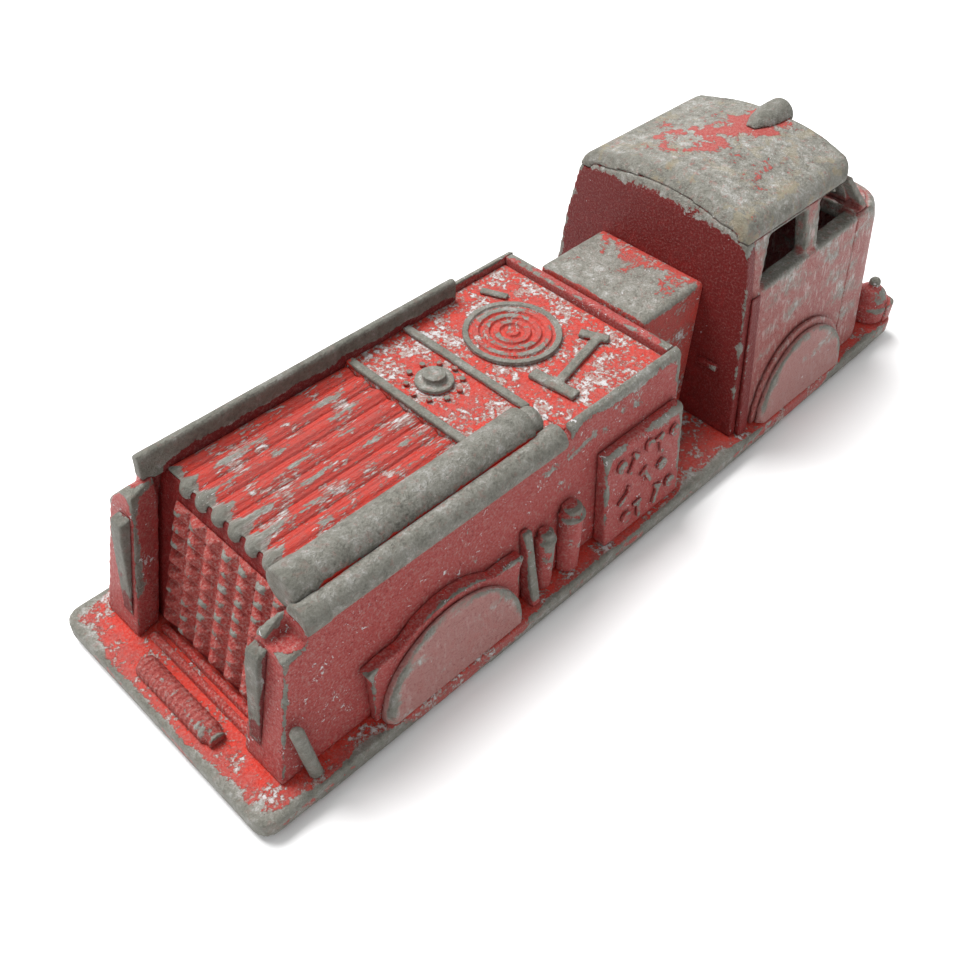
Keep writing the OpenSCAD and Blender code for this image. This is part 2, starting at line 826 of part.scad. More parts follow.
// ---- wheelsets ----
// Bearing lugs that stand on the board beside the wells and hold the axles
module axle_lugs() {
  color(paint) for (x = [rear_axle_x, front_axle_x]) difference() {
    both_sides() run_y(-bay_half, -well_half) polygon([
      [x - 3.4, 0], [x + 3.4, 0], [x + 2.4, 6.2], [x - 2.4, 6.2]
    ]);
    translate([sx(x), 25, axle_z]) rotate([90, 0, 0]) cylinder(r = axle_r + axle_play, h = 50, $fn = 48);
  }
}
module axle(x) {
  translate([sx(x), bay_half - 0.2, axle_z]) rotate([90, 0, 0])
    cylinder(r = axle_r, h = 2 * bay_half - 0.4, $fn = 48);
}
// Solid wheel with a round-shouldered tread, bored for its axle
module wheel(x, y) {
  hub_r = 2.6;
  shoulder = 0.6;
  translate([sx(x), y + wheel_w / 2, axle_z]) rotate([90, 0, 0]) rotate_extrude($fn = 64) polygon([
    [axle_r, 0.2], [hub_r, 0.2], [hub_r, 0.7], [wheel_r - 1.4, 0.7], [wheel_r - 1.1, 0],
    [wheel_r - shoulder, 0], [wheel_r, shoulder], [wheel_r, wheel_w - shoulder],
    [wheel_r - shoulder, wheel_w], [wheel_r - 1.1, wheel_w], [wheel_r - 1.4, wheel_w - 0.7],
    [hub_r, wheel_w - 0.7], [hub_r, wheel_w - 0.2], [axle_r, wheel_w - 0.2]
  ]);
}
wheel_y = well_half - 0.5 - wheel_w / 2;
module front_axle() {
  color(steel) axle(front_axle_x);
}
module rear_axle() {
  color(steel) axle(rear_axle_x);
}
module front_left_wheel() {
  color(rubber) wheel(front_axle_x, wheel_y);
}
module front_right_wheel() {
  color(rubber) wheel(front_axle_x, -wheel_y);
}
module rear_left_wheel() {
  color(rubber) wheel(rear_axle_x, wheel_y);
}
module rear_right_wheel() {
  color(rubber) wheel(rear_axle_x, -wheel_y);
}

running_board();
left_side_wall();
right_side_wall();
body_front_wall();
hose_bed_shell();
packed_hose_top();
packed_hose_rear();
tank_top();
deck_ribs();
filler_cap();
filler_cap_bolts();
equipment_tray();
hose_coil();
hydrant_wrench();
hose_spanner();
left_bed_rail();
suction_hose_upper();
suction_hose_lower();
rear_step_hose();
rear_step_bars();
left_grab_strap();
right_grab_strap();
corner_post();
rear_wheel_discs();
front_wheel_discs();
rear_fenders();
front_fenders();
left_pump_panel();
right_pump_panel();
left_pump_controls();
right_pump_controls();
large_extinguishers();
small_extinguishers();
tool_brackets();
engine_cover();
cab_rear_wall();
cab_left_side();
cab_right_side();
cab_roof();
windscreen_frame();
cab_corner_beads();
cab_step();
cab_nose();
cab_hood();
radiator_grille();
headlamps();
front_bumper();
roof_beacon();
bell();
siren();
axle_lugs();
front_axle();
front_left_wheel();
front_right_wheel();
rear_axle();
rear_left_wheel();
rear_right_wheel();
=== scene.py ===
import json
import math

import bpy
import numpy as np
from mathutils import Matrix, Vector
from mathutils.bvhtree import BVHTree


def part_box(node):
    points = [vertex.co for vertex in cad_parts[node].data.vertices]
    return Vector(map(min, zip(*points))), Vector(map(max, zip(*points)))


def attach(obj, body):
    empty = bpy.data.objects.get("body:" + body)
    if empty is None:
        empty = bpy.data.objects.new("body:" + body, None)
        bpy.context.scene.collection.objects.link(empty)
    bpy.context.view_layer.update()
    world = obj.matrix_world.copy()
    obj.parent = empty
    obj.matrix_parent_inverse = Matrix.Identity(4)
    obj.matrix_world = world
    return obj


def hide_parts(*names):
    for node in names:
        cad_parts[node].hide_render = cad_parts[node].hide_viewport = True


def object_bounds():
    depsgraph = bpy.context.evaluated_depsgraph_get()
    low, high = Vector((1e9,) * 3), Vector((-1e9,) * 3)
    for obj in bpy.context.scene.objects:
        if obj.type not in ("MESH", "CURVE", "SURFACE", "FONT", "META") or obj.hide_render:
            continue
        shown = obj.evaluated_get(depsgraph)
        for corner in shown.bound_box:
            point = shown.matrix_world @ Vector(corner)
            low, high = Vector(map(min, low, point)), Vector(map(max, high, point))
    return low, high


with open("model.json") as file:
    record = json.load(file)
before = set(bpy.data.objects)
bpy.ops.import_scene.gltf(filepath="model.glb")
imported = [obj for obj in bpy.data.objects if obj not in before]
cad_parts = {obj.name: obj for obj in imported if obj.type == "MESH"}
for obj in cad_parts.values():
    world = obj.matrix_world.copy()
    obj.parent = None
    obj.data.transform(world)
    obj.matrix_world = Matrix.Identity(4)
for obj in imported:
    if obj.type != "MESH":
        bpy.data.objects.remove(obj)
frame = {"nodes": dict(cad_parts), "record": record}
cad_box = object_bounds()
NODES = frame["nodes"]
BODY = {n: b for b, ns in frame["record"]["behaviour"]["bodies"].items() for n in ns}
MM = 0.001


# ---------------------------------------------------------------- fields
# How solid the surroundings of a point are, blurred at three scales: about 0.5 on a flat
# face, less on an outer edge and more in a corner or a hollow.
PITCH = 0.45 * MM
MARGIN = 4 * MM
lo = np.array(cad_box[0]) - MARGIN
hi = np.array(cad_box[1]) + MARGIN
CELLS = tuple(int(math.ceil((hi[i] - lo[i]) / PITCH)) for i in range(3))
UP = Vector((0, 0, 1))
MOST_CUTS = 40
PAST_SURFACE = 2e-6


def crossings(tree, x, y, z):
    """Heights at which an upright line through (x, y), starting at z, meets a surface."""
    cuts = []
    while len(cuts) < MOST_CUTS:
        hit = tree.ray_cast(Vector((x, y, z)), UP)
        if hit[0] is None:
            break
        cuts.append(hit[0].z)
        z = hit[0].z + PAST_SURFACE
    return cuts


def occupancy():
    grid = np.zeros(CELLS, np.float32)
    for name, ob in NODES.items():
        me = ob.data
        verts = [v.co.copy() for v in me.vertices]
        tree = BVHTree.FromPolygons(verts, [tuple(p.vertices) for p in me.polygons])
        a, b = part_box(name)
        i0, i1 = (int((v[0] - lo[0]) / PITCH) for v in (a, b))
        j0, j1 = (int((v[1] - lo[1]) / PITCH) for v in (a, b))
        for i in range(i0, i1 + 1):
            # a line just off a cell's middle misses the solids' own planes of symmetry
            x = lo[0] + (i + 0.503) * PITCH
            for j in range(j0, j1 + 1):
                y = lo[1] + (j + 0.497) * PITCH
                cuts = crossings(tree, x, y, a[2] - MM)
                for z0, z1 in zip(cuts[::2], cuts[1::2]):
                    k0, k1 = (z0 - lo[2]) / PITCH, (z1 - lo[2]) / PITCH
                    first, last = int(k0), int(k1)
                    if first == last:
                        grid[i, j, first] += k1 - k0
                    else:
                        grid[i, j, first] += first + 1 - k0
                        grid[i, j, first + 1:last] += 1
                        grid[i, j, last] += k1 - last
    return np.minimum(grid, 1)


def blurred(grid, sigma):
    s = sigma / PITCH
    n = int(3 * s) + 1
    taps = np.exp(-0.5 * (np.arange(-n, n + 1) / s) ** 2).astype(np.float32)
    taps /= taps.sum()
    for axis in range(3):
        out = np.zeros_like(grid)
        size = grid.shape[axis]
        for k, w in zip(range(-n, n + 1), taps):
            if abs(k) >= size:
                continue
            src = [slice(None)] * 3
            dst = [slice(None)] * 3
            src[axis] = slice(max(0, -k), size - max(0, k))
            dst[axis] = slice(max(0, k), size - max(0, -k))
            out[tuple(dst)] += w * grid[tuple(src)]
        grid = out
    return grid


def corner_weights(f):
    """The eight corners of a cell, and each one's weight at the place f within it."""
    for a in (0, 1):
        for b in (0, 1):
            for c in (0, 1):
                w = (f[:, 0] if a else 1 - f[:, 0]) * (f[:, 1] if b else 1 - f[:, 1])
                yield a, b, c, w * (f[:, 2] if c else 1 - f[:, 2])


def sample(grid, points):
    q = (points - lo) / PITCH - 0.5
    q = np.clip(q, 0, np.array(grid.shape) - 1.001)
    i = q.astype(int)
    f = (q - i).astype(np.float32)
    out = np.zeros(len(points), np.float32)
    for a, b, c, w in corner_weights(f):
        out += w * grid[i[:, 0] + a, i[:, 1] + b, i[:, 2] + c]
    return out


FIELDS = {}
layer = occupancy()
for field_name, blur in (("edge", 0.7), ("nook", 1.9), ("deep", 4.2)):
    layer = blurred(layer, blur * MM)
    FIELDS[field_name] = layer


# ---------------------------------------------------------------- seeded noise
SIDE_CELLS = 64
LATTICE = np.random.default_rng(41).random((SIDE_CELLS,) * 3).astype(np.float32)


def noise(points, size, octaves=3, gain=0.5):
    """Smooth noise from -1 to 1 at points, whose largest features are about size metres."""
    total, amp, norm = np.zeros(len(points), np.float32), 1.0, 0.0
    wrap = SIDE_CELLS - 1
    for o in range(octaves):
        q = points / size * 2 ** o + 17.3 * (o + 1)
        i = np.floor(q).astype(int)
        f = (q - i).astype(np.float32)
        f = f * f * (3 - 2 * f)
        v = np.zeros(len(points), np.float32)
        for a, b, c, w in corner_weights(f):
            v += w * LATTICE[(i[:, 0] + a) & wrap, (i[:, 1] + b) & wrap, (i[:, 2] + c) & wrap]
        total += amp * (2 * v - 1)
        norm += amp
        amp *= gain
    return total / norm


# ---------------------------------------------------------------- pieces from CAD solids
LUMP_SIZE = 2.6 * MM
OUTSIDE = 0.1 * MM


def per_vertex(me, what):
    v = np.empty(len(me.vertices) * 3, np.float32)
    me.vertices.foreach_get(what, v)
    return v.reshape(-1, 3)


def store(me, name, values):
    at = me.attributes.new(name, "FLOAT", "POINT")
    if values is not None:
        at.data.foreach_set("value", values.astype(np.float32))


def remeshed(src, name, voxel, smooth):
    """A copy of a CAD mesh with an even skin and softened edges."""
    me = src.data.copy()
    me.materials.clear()
    ob = bpy.data.objects.new(name, me)
    bpy.context.scene.collection.objects.link(ob)
    re = ob.modifiers.new("skin", "REMESH")
    re.mode = "VOXEL"
    re.voxel_size = voxel * MM
    re.adaptivity = 0
    so = ob.modifiers.new("soften", "SMOOTH")
    so.factor = 0.5
    so.iterations = smooth
    dg = bpy.context.evaluated_depsgraph_get()
    made = bpy.data.meshes.new_from_object(ob.evaluated_get(dg))
    ob.modifiers.clear()
    ob.data = made
    bpy.data.meshes.remove(me)
    made.name = name
    return ob


def cast_piece(node, voxel, smooth, lump, shape=None, rub=None, groove_shade=None):
    """A cast-metal version of one CAD solid: soft edges, a slightly uneven skin, and the
    fields stored on it for its material. Lengths are in millimetres."""
    ob = remeshed(NODES[node], "cast_" + node, voxel, smooth)
    me = ob.data
    p, n = per_vertex(me, "co"), per_vertex(me, "normal")
    # the skin moves inward only, so that the piece keeps within its solid
    d = -lump * MM * (0.5 + 0.5 * noise(p, LUMP_SIZE, 3, 0.6))
    if shape is not None:
        d = d + shape(p, n) * MM
    p = p + n * d[:, None]
    me.vertices.foreach_set("co", p.ravel())
    me.update()
    for name, field in FIELDS.items():
        store(me, name, sample(field, p + n * OUTSIDE))
    # rub is wear; the groove-shade attribute holds painted shade for grooves
    for name, local in (("rub", rub), ("groove_shade", groove_shade)):
        store(me, name, None if local is None else local(p / MM, n))
    me.shade_smooth()
    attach(ob, BODY[node])
    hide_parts(node)
    return ob


# ---------------------------------------------------------------- materials
class Tree:
    """Short names for building one material's nodes."""

    def __init__(self, name):
        self.mat = bpy.data.materials.new(name)
        self.mat.use_nodes = True
        self.t = self.mat.node_tree
        self.t.nodes.clear()
        self.out = self.t.nodes.new("ShaderNodeOutputMaterial")
        self.bsdf = self.t.nodes.new("ShaderNodeBsdfPrincipled")
        self.t.links.new(self.bsdf.outputs[0], self.out.inputs[0])
        tc = self.t.nodes.new("ShaderNodeTexCoord")
        sc = self.t.nodes.new("ShaderNodeVectorMath")
        sc.operation = "SCALE"
        sc.inputs[3].default_value = 1000
        self.t.links.new(tc.outputs["Object"], sc.inputs[0])
        self.mm = sc.outputs[0]
        self.geo = self.t.nodes.new("ShaderNodeNewGeometry")

    def link(self, value, socket):
        if hasattr(value, "links"):
            self.t.links.new(value, socket)
        else:
            socket.default_value = value

    def math(self, op, a, b=0.0, c=0.0, clamp=False):
        n = self.t.nodes.new("ShaderNodeMath")
        n.operation = op
        n.use_clamp = clamp
        for k, v in enumerate((a, b, c)):
            self.link(v, n.inputs[k])
        return n.outputs[0]

    def vec(self, op, a, b=(0, 0, 0)):
        n = self.t.nodes.new("ShaderNodeVectorMath")
        n.operation = op
        self.link(a, n.inputs[0])
        self.link(b, n.inputs[1])
        return n.outputs["Value"] if op in ("DOT_PRODUCT", "LENGTH") else n.outputs[0]

    def attr(self, name):
        n = self.t.nodes.new("ShaderNodeAttribute")
        n.attribute_name = name
        return n.outputs["Fac"]

    def noise(self, scale, detail=3.0, rough=0.6, distort=0.0, offset=0.0, at=None):
        n = self.t.nodes.new("ShaderNodeTexNoise")
        n.inputs["Scale"].default_value = scale
        n.inputs["Detail"].default_value = detail
        n.inputs["Roughness"].default_value = rough
        n.inputs["Distortion"].default_value = distort
        src = at or self.mm
        if offset:
            src = self.vec("ADD", src, (offset, offset * 1.7, -offset))
        self.link(src, n.inputs["Vector"])
        return n.outputs["Fac"]

    def step(self, v, a, b):
        n = self.t.nodes.new("ShaderNodeMapRange")
        n.interpolation_type = "SMOOTHSTEP"
        self.link(v, n.inputs["Value"])
        self.link(a, n.inputs["From Min"])
        self.link(b, n.inputs["From Max"])
        return n.outputs[0]

    def mix(self, f, a, b):
        n = self.t.nodes.new("ShaderNodeMix")
        n.data_type = "RGBA"
        self.link(f, n.inputs["Factor"])
        for v, k in ((a, 6), (b, 7)):
            self.link((*v, 1) if isinstance(v, tuple) else v, n.inputs[k])
        return n.outputs[2]

    def blend(self, f, a, b):
        n = self.t.nodes.new("ShaderNodeMix")
        self.link(f, n.inputs["Factor"])
        self.link(a, n.inputs[2])
        self.link(b, n.inputs[3])
        return n.outputs[0]

    def ramp(self, f, *stops):
        n = self.t.nodes.new("ShaderNodeValToRGB")
        r = n.color_ramp
        while len(r.elements) < len(stops):
            r.elements.new(0.5)
        for e, (at, c) in zip(r.elements, stops):
            e.position = at
            e.color = (*c, 1)
        self.link(f, n.inputs[0])
        return n.outputs[0]


# Paint and metal colours are a little darker than they look, because the stage is lit so that
# its pale floor burns out to white.
FRESH = (0.56, 0.042, 0.026)
DULL = (0.36, 0.070, 0.060)
# DEEP is the red paint as it looks in shade; it paints shade into hollows and grooves, and
# darkens dusty specks.
DEEP = (0.15, 0.008, 0.008)


DUSTY = (0.36, 0.20, 0.18)
SCUFF_ON_METAL = (0.52, 0.47, 0.45)
SCUFF_ON_PAINT = (0.42, 0.30, 0.28)
PIT = (0.055, 0.048, 0.04)
RED_TRACE = (0.33, 0.10, 0.085)
BROWN = (0.34, 0.27, 0.15)
# tarnish on bare metal, and painted shade on its shoulders
TARNISH_AND_SHADE = (0.135, 0.135, 0.112)
# painted shade for bare metal in the nooks
NOOK_SHADE_ON_METAL = (0.06, 0.045, 0.04)


class WornTree(Tree):
    """A material's nodes with the fields and noises that every worn surface uses."""

    def __init__(self, name, patch, stretch):
        super().__init__(name)
        self.at = self.vec("MULTIPLY", self.mm, stretch) if stretch else self.mm
        self.up = self.vec("DOT_PRODUCT", self.geo.outputs["Normal"], (0, 0, 1))
        self.edge, self.nook, self.deep = self.attr("edge"), self.attr("nook"), self.attr("deep")
        self.rub, self.groove_shade = self.attr("rub"), self.attr("groove_shade")
        self.big = self.noise(patch, 3, 0.55, 0.6)
        self.mid = self.noise(0.75, 5, 0.68, 0.5, 31, self.at)
        self.fine = self.noise(3.2, 4, 0.7, 0.0, 57, self.at)
        self.grain = self.noise(7.0, 2, 0.7, 0.0, 11)
        self.hollow = self.math("SUBTRACT", self.nook, 0.5)

    def add(self, total, value, times):
        return self.math("ADD", total, self.math("MULTIPLY", value, times))

    def vary(self, total, noise, times):
        """total, moved up and down by a noise whose middle is 0.5."""
        return self.add(total, self.math("SUBTRACT", noise, 0.5), times)

    def partly(self, amount, share):
        return self.math("MULTIPLY", amount, share)


def paint_gone(g, bare, edge, top, soft):
    w = g.math("ADD", g.math("MULTIPLY", g.math("SUBTRACT", 0.5, g.edge), 2.6 * edge), bare)
    w = g.math("ADD", w, g.rub)
    w = g.vary(w, g.big, 1.5)
    w = g.vary(w, g.mid, 1.1)
    w = g.vary(w, g.fine, 0.45)
    w = g.add(w, g.math("MAXIMUM", g.up, 0.0), top)
    w = g.math("SUBTRACT", w, g.math("MULTIPLY", g.hollow, 1.6))
    return g.step(w, 0.51 - soft, 0.51 + soft)


def enamel(g, fresh, dull, deep, dulling, dust, side_dust_and_shade, nook_shade):
    """Paint: dulled on open faces, and on upright faces by dust and painted shade; fresh beside
    raised parts; darkened in the hollows with painted shade.
    """
    d = g.math("ADD", g.math("MULTIPLY", g.math("SUBTRACT", g.mid, 0.5), 1.8), dulling)
    # upright faces go duller and darker: partly dust, partly painted shade
    d = g.add(d, g.math("SUBTRACT", 1.0, g.math("ABSOLUTE", g.up)), side_dust_and_shade)
    d = g.math("SUBTRACT", d, g.math("MULTIPLY", g.hollow, 2.6))
    paint = g.mix(g.step(d, 0.0, 1.0), fresh, dull)
    if dust:
        paint = g.mix(g.partly(g.step(g.fine, 0.50, 0.62), dust), paint, DUSTY)
        paint = g.mix(g.partly(g.step(g.fine, 0.46, 0.34), dust), paint, deep)
    # painted shade: the paint darkens towards the deep colour in wide hollows and nooks
    wide = g.vary(g.deep, g.big, 0.12)
    dark = g.math("MAXIMUM", g.step(wide, 0.54, 0.70), g.step(g.nook, 0.60, 0.80))
    return g.mix(g.partly(dark, nook_shade), paint, deep)


def cast_metal(g, stain, warm, scuffs):
    """Grey metal with dark pits, lighter scuffs and traces of red; darker on its shoulders with
    tarnish and painted shade, and in its nooks with painted shade.
    """
    tint = g.vary(g.blend(0.4, g.fine, 0.5), g.mid, 0.7)
    tint = g.vary(tint, g.big, 0.35)
    metal = g.ramp(tint, (0.32, (0.10, 0.096, 0.084)), (0.46, (0.205, 0.20, 0.172)),
                   (0.56, (0.268, 0.26, 0.232)), (0.72, (0.45, 0.445, 0.43)))
    metal = g.mix(g.partly(g.step(g.grain, 0.60, 0.70), 0.75), metal, PIT)
    red = g.noise(1.1, 4, 0.65, 0.4, 77, g.at)
    metal = g.mix(g.partly(g.step(red, 0.54, 0.70), stain), metal, RED_TRACE)
    if warm:
        brown = g.partly(g.step(g.noise(0.35, 4, 0.65, 0.5, 13), 0.54, 0.62), warm)
        metal = g.mix(g.partly(brown, g.step(g.edge, 0.48, 0.40)), metal, BROWN)
    if scuffs is not None:
        metal = g.mix(scuffs, metal, SCUFF_ON_METAL)
    # shoulders darker: tarnish, and painted shade
    metal = g.mix(g.partly(g.step(g.edge, 0.46, 0.36), 0.5), metal, TARNISH_AND_SHADE)
    # painted shade in the nooks
    return g.mix(g.partly(g.step(g.nook, 0.52, 0.70), 0.7), metal, NOOK_SHADE_ON_METAL)


def upright_scuffs(g, streak):
    lines = g.noise(1.0, 4, 0.62, 0.3, 63, g.vec("MULTIPLY", g.mm, (1.5, 1.5, 0.45)))
    return g.partly(g.step(lines, 0.54, 0.66), streak)


def large_chips(g, colour, gone, flake):
    """Crusty islands of old primer and metal, a few of them bright."""
    isle = g.noise(1.6, 5, 0.68, 0.2, 23, g.at)
    area = g.noise(0.26, 3, 0.55, 0.0, 5)
    c = g.vary(isle, area, 0.9)
    c = g.math("SUBTRACT", c, g.math("MULTIPLY", g.math("MAXIMUM", g.hollow, 0.0), 1.2))
    c = g.math("ADD", c, 0.16 * flake)
    chips = g.math("MULTIPLY", g.step(c, 0.66, 0.68), g.math("SUBTRACT", 1.0, gone))
    crust = g.mix(g.step(g.fine, 0.44, 0.56), (0.30, 0.12, 0.10), (0.37, 0.31, 0.285))
    pale = g.mix(g.grain, (0.38, 0.365, 0.36), (0.66, 0.66, 0.67))
    bright = g.math("MULTIPLY", g.step(c, 0.73, 0.78), g.step(g.mid, 0.47, 0.52))
    return g.mix(chips, colour, g.mix(bright, crust, pale)), chips


def small_chips(g, colour, fleck):
    spot = g.noise(1.9, 3, 0.66, 0.8, 91, g.at)
    area = g.noise(0.3, 3, 0.6, 0.0, 19)
    least = 0.80 - 0.16 * fleck
    chips = g.step(g.vary(spot, area, 0.5), least, least + 0.03)
    return g.mix(chips, colour, g.mix(g.grain, (0.42, 0.40, 0.40), (0.80, 0.80, 0.81))), chips


def add_bump(g, height, strength, distance):
    bump = g.t.nodes.new("ShaderNodeBump")
    bump.inputs["Strength"].default_value = strength
    bump.inputs["Distance"].default_value = distance
    g.link(height, bump.inputs["Height"])
    g.link(bump.outputs[0], g.bsdf.inputs["Normal"])


def worn(name, bare=0.0, edge=1.0, fresh=FRESH, dull=DULL, deep=DEEP, dulling=0.3, dust=0.0,
         fleck=0.0, flake=0.0, stain=0.3, patch=0.16, nook_shade=0.5, side_dust_and_shade=0.0, top=0.0, soft=0.05,
         stretch=None, warm=0.0, streak=0.0, tone=1.0):
    """Old enamel over cast metal. bare is how much paint is gone, edge how strongly it goes
    at the edges, top how much more on faces that look up, and soft how gradual its border is;
    fleck and flake are small and large chips down to bright metal; dulling and dust fade the
    paint, side_dust_and_shade fades and darkens upright faces with dust and painted shade, and
    nook_shade paints shade into the nooks; patch is how fine the bare areas are, and stretch
    draws the wear out along an axis; stain and warm add red and brown to the metal, streak
    adds upright scuffs, and tone darkens it all."""
    g = WornTree(name, patch, stretch)
    gone = paint_gone(g, bare, edge, top, soft)
    paint = enamel(g, fresh, dull, deep, dulling, dust, side_dust_and_shade, nook_shade)
    scuffs = upright_scuffs(g, streak) if streak else None
    metal = cast_metal(g, stain, warm, scuffs)
    if scuffs is not None:
        paint = g.mix(scuffs, paint, SCUFF_ON_PAINT)
    colour = g.mix(gone, paint, metal)
    # painted shade in the grooves of the hoses, towards the deep colour
    colour = g.mix(g.groove_shade, colour, deep)
    chips = None
    if flake:
        colour, chips = large_chips(g, colour, gone, flake)
    if fleck:
        colour, small = small_chips(g, colour, fleck)
        chips = small if chips is None else g.math("MAXIMUM", small, chips)
    if tone != 1.0:
        colour = g.vec("MULTIPLY", colour, (tone, tone, tone))
    g.link(colour, g.bsdf.inputs["Base Color"])
    shine = g.blend(gone, 0.42, 0.55)
    rough = g.math("MULTIPLY", g.math("SUBTRACT", g.fine, 0.5), 0.4)
    shine = g.math("ADD", shine, rough, clamp=True)
    g.link(shine, g.bsdf.inputs["Roughness"])
    g.link(g.math("MULTIPLY", gone, 0.2), g.bsdf.inputs["Metallic"])
    g.bsdf.inputs["Specular IOR Level"].default_value = 0.2
    height = g.math("MULTIPLY", gone, -0.5)
    height = g.add(height, g.fine, 1.1)
    height = g.add(height, g.grain, 0.5)
    height = g.add(height, g.mid, 1.0)
    if chips is not None:
        height = g.add(height, chips, -0.5)
    add_bump(g, height, 0.9, 0.25 * MM)
    return g.mat


def rubber():
    g = Tree("wheel_rubber")
    fine = g.noise(2.5, 4, 0.6)
    mid = g.noise(0.6, 3, 0.6, 0.3, 9)
    c = g.ramp(mid, (0.3, (0.018, 0.017, 0.016)), (0.7, (0.05, 0.046, 0.042)))
    c = g.mix(g.math("MULTIPLY", g.step(fine, 0.55, 0.75), 0.5), c, (0.14, 0.12, 0.10))
    g.link(c, g.bsdf.inputs["Base Color"])
    g.link(g.blend(fine, 0.6, 0.9), g.bsdf.inputs["Roughness"])
    add_bump(g, fine, 0.4, 0.1 * MM)
    return g.mat


def axle_steel():
    g = Tree("axle_steel")
    fine = g.noise(4.0, 4, 0.7)
    mid = g.noise(0.8, 3, 0.6, 0.3, 3)
    c = g.ramp(mid, (0.35, (0.30, 0.29, 0.28)), (0.6, (0.48, 0.47, 0.46)))
    c = g.mix(g.step(fine, 0.58, 0.70), c, (0.20, 0.10, 0.05))
    g.link(c, g.bsdf.inputs["Base Color"])
    g.link(g.blend(fine, 0.3, 0.6), g.bsdf.inputs["Roughness"])
    g.bsdf.inputs["Metallic"].default_value = 0.9
    return g.mat


BOARD = worn("board_paint", bare=-0.08, edge=1.15, dulling=0.35, flake=0.6, fleck=0.2, patch=0.13,
             stain=0.3, dust=0.35, side_dust_and_shade=0.5)
WALL = worn("wall_paint", bare=-0.22, edge=1.3, fresh=(0.56, 0.028, 0.021),
            dull=(0.34, 0.060, 0.055), dulling=0.6, fleck=0.8, dust=0.65, side_dust_and_shade=0.4,
            nook_shade=0.7)
# The red paint darkened well below the wall paint: painted shade for the rail's inner face.
SHADED_RAIL = worn("shaded_rail_paint", bare=-0.15, edge=2.4, fresh=(0.40, 0.022, 0.018),
            dull=(0.16, 0.018, 0.018), dulling=0.7, dust=0.4, top=0.4, tone=0.9)
BED = worn("bed_paint", bare=-0.14, edge=1.3, dulling=0.2, flake=0.5, fleck=0.6, dust=0.25,
           stretch=(0.45, 2.2, 2.2))
TRAY = worn("tray_paint", bare=-0.25, edge=1.1, dulling=0.25, flake=1.0, fleck=0.4, dust=0.35)
COIL = worn("coil_paint", bare=-0.2, edge=1.2, dulling=0.3, flake=0.3, fleck=0.2, dust=0.35)
# A much darker copy of the red paint for the hose bed shell, cab rear wall, beads, step and lugs:
# painted shade.
SHADED_HOLLOW = worn("shaded_hollow_paint", bare=-0.45, edge=0.8, fresh=(0.25, 0.014, 0.013),
              dull=(0.15, 0.009, 0.008), deep=(0.07, 0.002, 0.003), dulling=0.5, fleck=0.35,
              dust=0.27, nook_shade=0.9)
WAFFLE = worn("waffle_paint", bare=-0.22, edge=0.6, fresh=(0.42, 0.030, 0.024),
              dull=(0.31, 0.062, 0.052), dulling=0.5, dust=0.8, fleck=0.3)
SIDE = worn("side_paint", bare=-0.03, edge=0.9, fresh=(0.40, 0.04, 0.035),
            dull=(0.30, 0.090, 0.080), dulling=0.85, dust=0.6, fleck=0.35, stain=0.75, nook_shade=0.7,
            soft=0.24, streak=0.7, tone=0.97)
DISC = worn("disc_paint", bare=-0.02, edge=1.3, fresh=(0.36, 0.07, 0.06),
            dull=(0.34, 0.155, 0.14), dulling=0.9, dust=0.5, fleck=0.3, stain=0.6, nook_shade=0.7,
            soft=0.2, streak=0.3)
COVER = worn("cover_paint", bare=-0.08, edge=0.9, dulling=0.4, stain=0.2, patch=0.25, fleck=0.6,
             flake=0.35, top=0.42, dust=0.4)
METAL = worn("bare_metal", bare=1.0, edge=0.5, stain=0.3, tone=0.93)
DARK = worn("dark_metal", bare=0.12, edge=0.9, fresh=(0.30, 0.020, 0.018),
            dull=(0.17, 0.03, 0.028), stain=0.35, dulling=0.7, dust=0.4, tone=0.8)
RIB = worn("rib_metal", bare=0.42, edge=0.8, stain=0.4)
ROOF = worn("roof_metal", bare=0.40, edge=0.5, dulling=0.6, dust=0.5, stain=0.45, patch=0.2,
            warm=0.5, fleck=0.3)
RUBBER = rubber()
STEEL = axle_steel()

LOOK = {
    "running_board": BOARD, "left_side_wall": WALL, "right_side_wall": WALL,
    "body_front_wall": WALL, "hose_bed_shell": SHADED_HOLLOW, "packed_hose_top": BED,
    "packed_hose_rear": WAFFLE, "tank_top": TRAY, "deck_ribs": RIB, "filler_cap": RIB,
    "filler_cap_bolts": COIL, "equipment_tray": TRAY, "hose_coil": COIL,
    "hydrant_wrench": RIB, "hose_spanner": RIB, "left_bed_rail": SHADED_RAIL,
    "suction_hose_upper": METAL, "suction_hose_lower": METAL, "rear_step_hose": WAFFLE,
    "rear_step_bars": WAFFLE, "left_grab_strap": DARK, "right_grab_strap": DARK,
    "corner_post": METAL, "rear_wheel_discs": DISC, "front_wheel_discs": DISC,
    "rear_fenders": WALL, "front_fenders": SIDE, "left_pump_panel": WALL,
    "right_pump_panel": WALL, "left_pump_controls": WALL, "right_pump_controls": WALL,
    "large_extinguishers": WALL, "small_extinguishers": WALL, "tool_brackets": WALL,
    "engine_cover": COVER, "cab_rear_wall": SHADED_HOLLOW, "cab_left_side": SIDE,
    "cab_right_side": SIDE, "cab_roof": ROOF, "windscreen_frame": SIDE,
    "cab_corner_beads": SHADED_HOLLOW, "cab_step": SHADED_HOLLOW, "cab_nose": SIDE, "cab_hood": SIDE,
    "radiator_grille": RIB, "headlamps": RIB, "front_bumper": BOARD, "roof_beacon": METAL,
    "bell": WALL, "siren": RIB, "axle_lugs": SHADED_HOLLOW,
}


